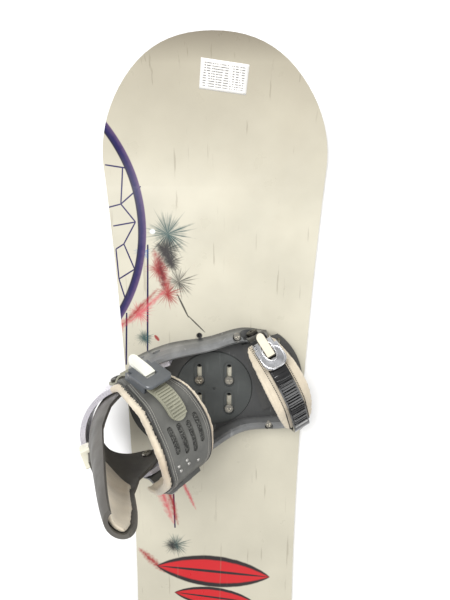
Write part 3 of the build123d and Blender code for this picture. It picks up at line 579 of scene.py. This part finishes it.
class BindingLook(bpy.types.PropertyGroup):
    """Colours of the bindings and sizes of their sewn trim."""
    plate_colour: FloatVectorProperty(
        name="Baseplate", description="Colour of the moulded baseplate", subtype="COLOR", size=3,
        default=srgb(112, 113, 113)[:3], min=0, max=1)
    strap_colour: FloatVectorProperty(
        name="Strap cover", description="Colour of the ankle strap's cover", subtype="COLOR", size=3,
        default=srgb(92, 92, 88)[:3], min=0, max=1)
    lining_colour: FloatVectorProperty(
        name="Lining", description="Colour of the soft linings", subtype="COLOR", size=3,
        default=srgb(222, 210, 188)[:3], min=0, max=1)
    voxel: FloatProperty(
        name="Skin size", description="Cell size of the padded skins", default=.0022, min=.001, max=.006,
        unit="LENGTH", precision=4)
    roll: FloatProperty(
        name="Edge roll", description="How far a pad's rolled edge stands proud", default=.0016, min=0, max=.004,
        unit="LENGTH", precision=4)
    stitch: FloatProperty(
        name="Stitch", description="Length of one sewn stitch", default=.0026, min=.001, max=.006,
        unit="LENGTH", precision=4)
    thread: FloatProperty(
        name="Thread", description="Thickness of the sewing thread", default=.0009, min=.0003, max=.002,
        unit="LENGTH", precision=4)
    piping: FloatProperty(
        name="Piping", description="Radius of the piping along the cover", default=.0011, min=.0005, max=.003,
        unit="LENGTH", precision=4)


class StudioLook(bpy.types.PropertyGroup):
    """Light and floor of the studio."""
    floor_drop: FloatProperty(
        name="Floor drop", description="Gap between the running base and the floor", default=.0006, min=0, max=.1,
        unit="LENGTH", precision=4)
    sky: FloatProperty(name="Sky", description="Strength of the even light", default=.5, min=0, max=5)
    key: FloatProperty(name="Key light", description="Power of the large lamp", default=60, min=0, max=500,
                       unit="POWER")


def board_look():
    return bpy.context.scene.board_look


def binding_look():
    return bpy.context.scene.binding_look


# ---------------------------------------------------------------- operators
class BoardFinishOperator(bpy.types.Operator):
    """Paints the board: base, steel edge, sidewalls, wood core, top sheet and inserts"""
    bl_idname = "snowboard.board_finish"
    bl_label = "Board finish"

    def execute(self, context):
        look = board_look()
        paint("topsheet", printed_top(look))
        paint("base_sheet", plastic("base_plastic", look.base_colour[:], .42, .2, .3))
        paint("steel_edge", metal("edge_steel", srgb(168, 166, 160), .36))
        paint("sidewall", plastic("sidewall_plastic", srgb(196, 190, 174), .45, .25, .5))
        paint("wood_core", timber("core_wood", srgb(206, 178, 132)))
        steel = metal("insert_steel", srgb(120, 118, 114), .42)
        for node in ("front_inserts", "rear_inserts"):
            paint(node, steel)
        return {"FINISHED"}


class PriceLabelOperator(bpy.types.Operator):
    """Sticks a plain paper label near the tip, following the curve of the top sheet"""
    bl_idname = "snowboard.price_label"
    bl_label = "Paper label"

    def execute(self, context):
        f = Finish("label_paper", .7)
        uv = f.turned((*LABEL_PLACE, 0), LABEL_TURN, (*LABEL_SIZE, 1))
        axes = f.node("SeparateXYZ", {0: uv})
        rows = f.wave(1.9, "Y", 0, uv)
        dashes = f.noise(9, 1, (2.5, .1, 1), uv)
        inside = f.math("MULTIPLY", f.span(f.math("ABSOLUTE", axes.outputs[0]), .9, .86),
                        f.span(f.math("ABSOLUTE", axes.outputs[1]), .8, .74))
        ink = f.math("MULTIPLY", f.span(rows, .72, .8), f.span(dashes, .44, .5))
        f.colour(f.mix(f.math("MULTIPLY", ink, inside), srgb(238, 236, 232), srgb(96, 94, 92)))
        f.bump(f.noise(300, 3), .15, .0001)
        bm = bmesh.new()
        place = Matrix.Translation((*LABEL_PLACE, .2)) @ Matrix.Rotation(LABEL_TURN, 4, "Z")
        shape = Matrix.Diagonal((*LABEL_SIZE, 1, 1))
        bmesh.ops.create_grid(bm, x_segments=12, y_segments=12, size=1, matrix=place @ shape)
        for vert in bm.verts:
            hit, point, _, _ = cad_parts["topsheet"].ray_cast(vert.co, Vector((0, 0, -1)))
            if not hit:
                raise RuntimeError("the label misses the top sheet")
            vert.co = point + Vector((0, 0, LABEL_LIFT))
        piece = finish_mesh("paper_label", bm, "board", "topsheet_print", f.material)
        wall = piece.modifiers.new("thickness", "SOLIDIFY")
        wall.thickness = .0001
        wall.offset = 1
        return {"FINISHED"}


class HardPartsOperator(bpy.types.Operator):
    """Paints the moulded and metal parts of both bindings"""
    bl_idname = "snowboard.hard_parts"
    bl_label = "Binding hard parts"

    def execute(self, context):
        look = binding_look()
        cover = look.strap_colour[:]
        finishes = {
            "baseplate": rail_plastic(look.plate_colour[:]),
            "toe_ramp": plastic("plate_dark", srgb(66, 66, 65), .55, .6, .2),
            "disc": plastic("disc_dark", srgb(68, 71, 70), .5, .5, .3),
            "hoop": metal("hoop_silver", srgb(232, 228, 236), .3, (1, 1, 7), .45),
            "highback": plastic("highback_dark", srgb(84, 81, 76), .5, .5, .2),
            "lean_adjuster": plastic("adjuster_white", srgb(232, 228, 208), .35, .2, .2, .2),
            "ankle_shell": hide("cover_charcoal", cover),
            "ankle_connector": plastic("connector_charcoal", shade(cover, .55), .38, .2, .4, .2),
            "ankle_ladder": plastic("ladder_khaki", srgb(152, 151, 133), .5, .4, .3),
            "ankle_buckle_frame": plastic("buckle_grey", srgb(90, 94, 98), .34, .25, .6, .25),
            "ankle_release": plastic("release_white", srgb(240, 240, 228), .32, .1, .2, .3),
            "toe_buckle_lever": polished("lever_silver", srgb(198, 199, 202)),
            "toe_release": plastic("release_beige", srgb(222, 214, 194), .35, .1, .2, .3),
            "toe_ladder": plastic("ladder_black", srgb(24, 24, 25), .2, .1, .12, .5),
            "ankle_buckle_pins": metal("pin_steel", srgb(170, 168, 164), .3),
        }
        alike = {
            "heel_plate": "toe_ramp", "toe_buckle_frame": "toe_buckle_lever",
            "ankle_buckle_lever": "ankle_buckle_frame", "toe_connector": "toe_ladder",
            "toe_buckle_pins": "ankle_buckle_pins",
        }
        for part, same in alike.items():
            finishes[part] = finishes[same]
        for side in SIDES:
            for part, material in finishes.items():
                paint(f"{side}_{part}", material)
        screw = metal("screw_steel", srgb(186, 182, 172), .3)
        for node in ("disc_screws", "hoop_screws", "rail_screws", "highback_pivots"):
            paint(node, screw)
        black = metal("bolt_black", srgb(92, 90, 84), .35)
        for node in ("ankle_bolts", "toe_bolts"):
            paint(node, black)
        return {"FINISHED"}


class HighbackLinerOperator(bpy.types.Operator):
    """Upholsters the inside of each highback with a soft cream lining"""
    bl_idname = "snowboard.highback_liners"
    bl_label = "Highback linings"

    def execute(self, context):
        lining = cloth("liner_cream", binding_look().lining_colour[:], 1300, srgb(170, 150, 122), .7)
        for side in SIDES:
            node = f"{side}_highback_liner"
            bm = skin_of(node, binding_look().voxel)
            for vert in bm.verts:
                vert.co += vert.normal * noise.noise(vert.co * 60) * .0005
            soft_piece(f"{side}_highback_lining", bm, f"{side}_highback", "liner_cream", node, .5, lining)
        return {"FINISHED"}


class AnklePadOperator(bpy.types.Operator):
    """Makes each ankle pad with rolled cream edges and a gritty face behind the cover's windows"""
    bl_idname = "snowboard.ankle_pads"
    bl_label = "Ankle pads"

    def execute(self, context):
        look = binding_look()
        lining = cloth("pad_lining", look.lining_colour[:], 1700, srgb(186, 160, 132))
        face = grit("pad_face", shade(look.strap_colour[:], .55))
        for side in SIDES:
            plane = ANKLE_PLANES[side]
            node = f"{side}_ankle_pad"
            bm = skin_of(node, look.voxel)
            swell_edges(bm, plane, look.roll, .88, .0006)
            widest = half_widths(bm, plane)
            across, up = Vector(plane[1]), Vector(plane[2])
            for polygon in bm.faces:
                x, y, wide = strap_place(plane, polygon.calc_center_median())
                angle = strap_angle(x, y)
                out = across * math.cos(angle) + up * math.sin(angle)
                covered = abs(wide) < widest[arch_bin(angle)] - PAD_BORDER
                polygon.material_index = 1 if covered and polygon.normal.dot(out) > .2 else 0
            soft_piece(f"{side}_ankle_padding", bm, f"{side}_ankle_strap", "pad_charcoal", node, .7, lining, face)
        return {"FINISHED"}


class ToePadOperator(bpy.types.Operator):
    """Makes each toe pad as a soft cream band with rolled edges"""
    bl_idname = "snowboard.toe_pads"
    bl_label = "Toe pads"

    def execute(self, context):
        look = binding_look()
        lining = cloth("pad_cream", look.lining_colour[:], 1500, srgb(188, 172, 148))
        for side in SIDES:
            node = f"{side}_toe_pad"
            bm = skin_of(node, look.voxel)
            swell_edges(bm, TOE_PLANES[side], look.roll * .8, .84, .0005)
            soft_piece(f"{side}_toe_padding", bm, f"{side}_toe_strap", "pad_cream", node, .7, lining)
        return {"FINISHED"}


class StrapTrimOperator(bpy.types.Operator):
    """Sews the ankle covers: dark piping, two rows of stitches along each edge, and small rivets"""
    bl_idname = "snowboard.strap_trim"
    bl_label = "Strap trim"

    def execute(self, context):
        look = binding_look()
        piping = plastic("piping_dark", srgb(44, 43, 42), .38, .2, .2, .2)
        thread = cloth("thread_grey", srgb(150, 147, 140), 2600, None, .1)
        bright = metal("rivet_bright", srgb(190, 188, 184), .36)
        for side in SIDES:
            plane, node, body = ANKLE_PLANES[side], f"{side}_ankle_shell", f"{side}_ankle_strap"
            stitches = bmesh.new()
            for edge in (-1, 1):
                line = edge_line(node, plane, edge, .0004, 14, 166, 64)
                if len(line) < 8:
                    raise RuntimeError(f"no edge found on {node}")
                points = [point - normal * .0004 for point, normal in line]
                name = f"{side}_ankle_piping_{'toe' if edge > 0 else 'heel'}"
                add_piece(name, cord_mesh(name, points, look.piping), [piping], body)
                for inset in SEAM_INSETS:
                    row = edge_line(node, plane, edge, inset, 16, 164, 150)
                    lay_stitches(stitches, row, look.stitch, look.thread)
            finish_mesh(f"{side}_ankle_stitching", stitches, body, "shell_charcoal", thread)
            for edge in (-1, 1):
                line = edge_line(f"{side}_ankle_connector", plane, edge, .0012, 158, 206, 24)
                if len(line) > 3:
                    points = [point + normal * .0002 for point, normal in line]
                    name = f"{side}_connector_wire_{'toe' if edge > 0 else 'heel'}"
                    add_piece(name, cord_mesh(name, points, .0007), [bright], body)
            rivets = bmesh.new()
            for angle, wide in RIVETS:
                hit = arch_hit(node, plane, math.radians(angle), wide)
                if hit:
                    dome(rivets, *hit, RIVET_RADIUS, RIVET_HEIGHT)
            finish_mesh(f"{side}_ankle_rivets", rivets, body, "screw_steel", bright)
        return {"FINISHED"}


class ToeTrimOperator(bpy.types.Operator):
    """Adds the toe ladder's bold ribs and end bar, the pads' dark edging and the plated rims of the toe levers"""
    bl_idname = "snowboard.toe_trim"
    bl_label = "Toe strap trim"

    def execute(self, context):
        black = plastic("rib_black", srgb(30, 30, 31), .18, .1, .2, .5)
        grey = plastic("bar_grey", srgb(150, 150, 148), .3, .1, .3, .3)
        edging = plastic("edging_dark", srgb(50, 49, 47), .45, .3, .2)
        plated = polished("rim_plated", srgb(224, 224, 226))
        for side in SIDES:
            plane, body = TOE_PLANES[side], f"{side}_toe_strap"
            ribs = bmesh.new()
            for step in range(RIB_COUNT):
                self.bar(ribs, f"{side}_toe_ladder", plane, RIB_FIRST + step * RIB_STEP, RIB_SIZE)
            finish_mesh(f"{side}_toe_ribs", ribs, body, "ladder_black", black)
            ends = bmesh.new()
            self.bar(ends, f"{side}_toe_ladder", plane, RIB_FIRST + RIB_COUNT * RIB_STEP, END_BAR_SIZE)
            finish_mesh(f"{side}_toe_end_bar", ends, body, "ladder_black", grey)
            beads = bmesh.new()
            context.view_layer.update()
            for offset in (-EDGING_OFFSET, EDGING_OFFSET):
                angles = [math.radians(30 + i * 1.05) for i in range(116)]
                row = [arch_hit(f"{side}_toe_padding", plane, angle, offset, TOE_CENTRE) for angle in angles]
                lay_stitches(beads, [hit for hit in row if hit], EDGING_LENGTH, EDGING_THICK)
            finish_mesh(f"{side}_toe_edging", beads, body, "pad_cream", edging)
            for name, middle, long, wide in RIMS:
                points = [self.rim_point(TOE_BUCKLES[side], middle, long, wide, i / RIM_POINTS)
                          for i in range(RIM_POINTS + 1)]
                mesh = cord_mesh(f"{side}_toe_rim_{name}", points, RIM_RADIUS)
                add_piece(f"{side}_toe_rim_{name}", mesh, [plated], f"{side}_toe_lever")
        return {"FINISHED"}

    def bar(self, bm, node, plane, angle, size):
        """One raised bar across the ladder."""
        hit = arch_hit(node, plane, math.radians(angle), 0, TOE_CENTRE)
        if not hit:
            return
        point, normal = hit
        wide = Vector(plane[3])
        turn = Matrix((wide.cross(normal), wide, normal)).transposed().to_4x4()
        place = Matrix.Translation(point) @ turn @ Matrix.Diagonal((size[0] * 2, size[1] * 2, size[2] * 2, 1))
        made = bmesh.ops.create_cube(bm, size=1, matrix=place)
        edges = list({edge for vert in made["verts"] for edge in vert.link_edges})
        bmesh.ops.bevel(bm, geom=edges, offset=.0004, segments=2, profile=.5, affect="EDGES", material=-1)

    def rim_point(self, buckle, middle, long, wide, share):
        """A point on an egg-shaped rim that lies on the lever's top."""
        origin, along, across, out = (Vector(v) for v in buckle)
        x, y = math.cos(share * math.tau), math.sin(share * math.tau)
        x = math.copysign(abs(x) ** .8, x) * long
        y = math.copysign(abs(y) ** .8, y) * wide * (1 - .12 * x / long)
        return origin + along * (middle + x) + across * y + out * RIM_LIFT


class StudioOperator(bpy.types.Operator):
    """Lays the pale floor and sets up the soft light and the camera"""
    bl_idname = "snowboard.studio"
    bl_label = "Studio"

    def execute(self, context):
        look = context.scene.studio_look
        f = Finish("floor_pale", .85)
        f.colour(f.mix(f.span(f.noise(3, 3), .3, .7), srgb(246, 246, 245), srgb(250, 250, 250)))
        bm = bmesh.new()
        drop = Matrix.Translation((0, 0, -look.floor_drop))
        bmesh.ops.create_grid(bm, x_segments=2, y_segments=2, size=8, matrix=drop)
        mesh = bpy.data.meshes.new("floor")
        bm.to_mesh(mesh)
        bm.free()
        floor = bpy.data.objects.new("floor", mesh)
        mesh.materials.append(f.material)
        context.scene.collection.objects.link(floor)
        for name, place, size, share in LAMPS:
            self.light(context, name, place, size, look.key * share)
        world = bpy.data.worlds.new("studio")
        context.scene.world = world
        world.use_nodes = True
        world.node_tree.nodes["Background"].inputs[0].default_value = (1, 1, 1, 1)
        world.node_tree.nodes["Background"].inputs[1].default_value = look.sky
        context.scene.view_settings.view_transform = "Standard"
        self.camera(context)
        return {"FINISHED"}

    def light(self, context, name, place, size, power):
        """A round lamp aimed at the front binding."""
        data = bpy.data.lights.new(name, "AREA")
        data.shape = "DISK"
        data.size = size
        data.energy = power
        lamp = bpy.data.objects.new(name, data)
        context.scene.collection.objects.link(lamp)
        lamp.location = place
        aim = Vector((0, .3, 0)) - Vector(place)
        lamp.rotation_euler = aim.to_track_quat("-Z", "Y").to_euler()

    def camera(self, context):
        """The camera that looks down along the board from near the tip."""
        data = bpy.data.cameras.new("camera")
        data.sensor_width = CAMERA_SENSOR
        data.lens = CAMERA_LENS
        camera = bpy.data.objects.new("camera", data)
        context.scene.collection.objects.link(camera)
        axes = (CAMERA_RIGHT, [-c for c in CAMERA_DOWN], [-c for c in CAMERA_AHEAD])
        turn = Matrix(axes).transposed().to_4x4()
        camera.matrix_world = Matrix.Translation(CAMERA_PLACE) @ turn
        context.scene.camera = camera


class SNOWBOARD_PT_panel(bpy.types.Panel):
    """Lists the steps that dress the snowboard"""
    bl_label = "Snowboard with bindings"
    bl_idname = "SNOWBOARD_PT_panel"
    bl_space_type = "VIEW_3D"
    bl_region_type = "UI"
    bl_category = "Snowboard"

    def draw(self, context):
        for settings in ("board_look", "binding_look", "studio_look"):
            group = getattr(context.scene, settings)
            for key in group.__annotations__:
                self.layout.prop(group, key)
        for operator in OPERATORS:
            self.layout.operator(operator.bl_idname)


OPERATORS = (
    BoardFinishOperator, PriceLabelOperator, HardPartsOperator, HighbackLinerOperator,
    AnklePadOperator, ToePadOperator, StrapTrimOperator, ToeTrimOperator, StudioOperator,
)
SETTINGS = {"board_look": BoardLook, "binding_look": BindingLook, "studio_look": StudioLook}


def register():
    for kind in (*SETTINGS.values(), *OPERATORS, SNOWBOARD_PT_panel):
        bpy.utils.register_class(kind)
    for name, kind in SETTINGS.items():
        setattr(bpy.types.Scene, name, PointerProperty(type=kind))


def unregister():
    for name in SETTINGS:
        delattr(bpy.types.Scene, name)
    for kind in (SNOWBOARD_PT_panel, *reversed(OPERATORS), *SETTINGS.values()):
        bpy.utils.unregister_class(kind)


def main():
    register()
    for operator in OPERATORS:
        group, name = operator.bl_idname.split(".")
        getattr(getattr(bpy.ops, group), name)()


if __name__ == "__main__":
    main()
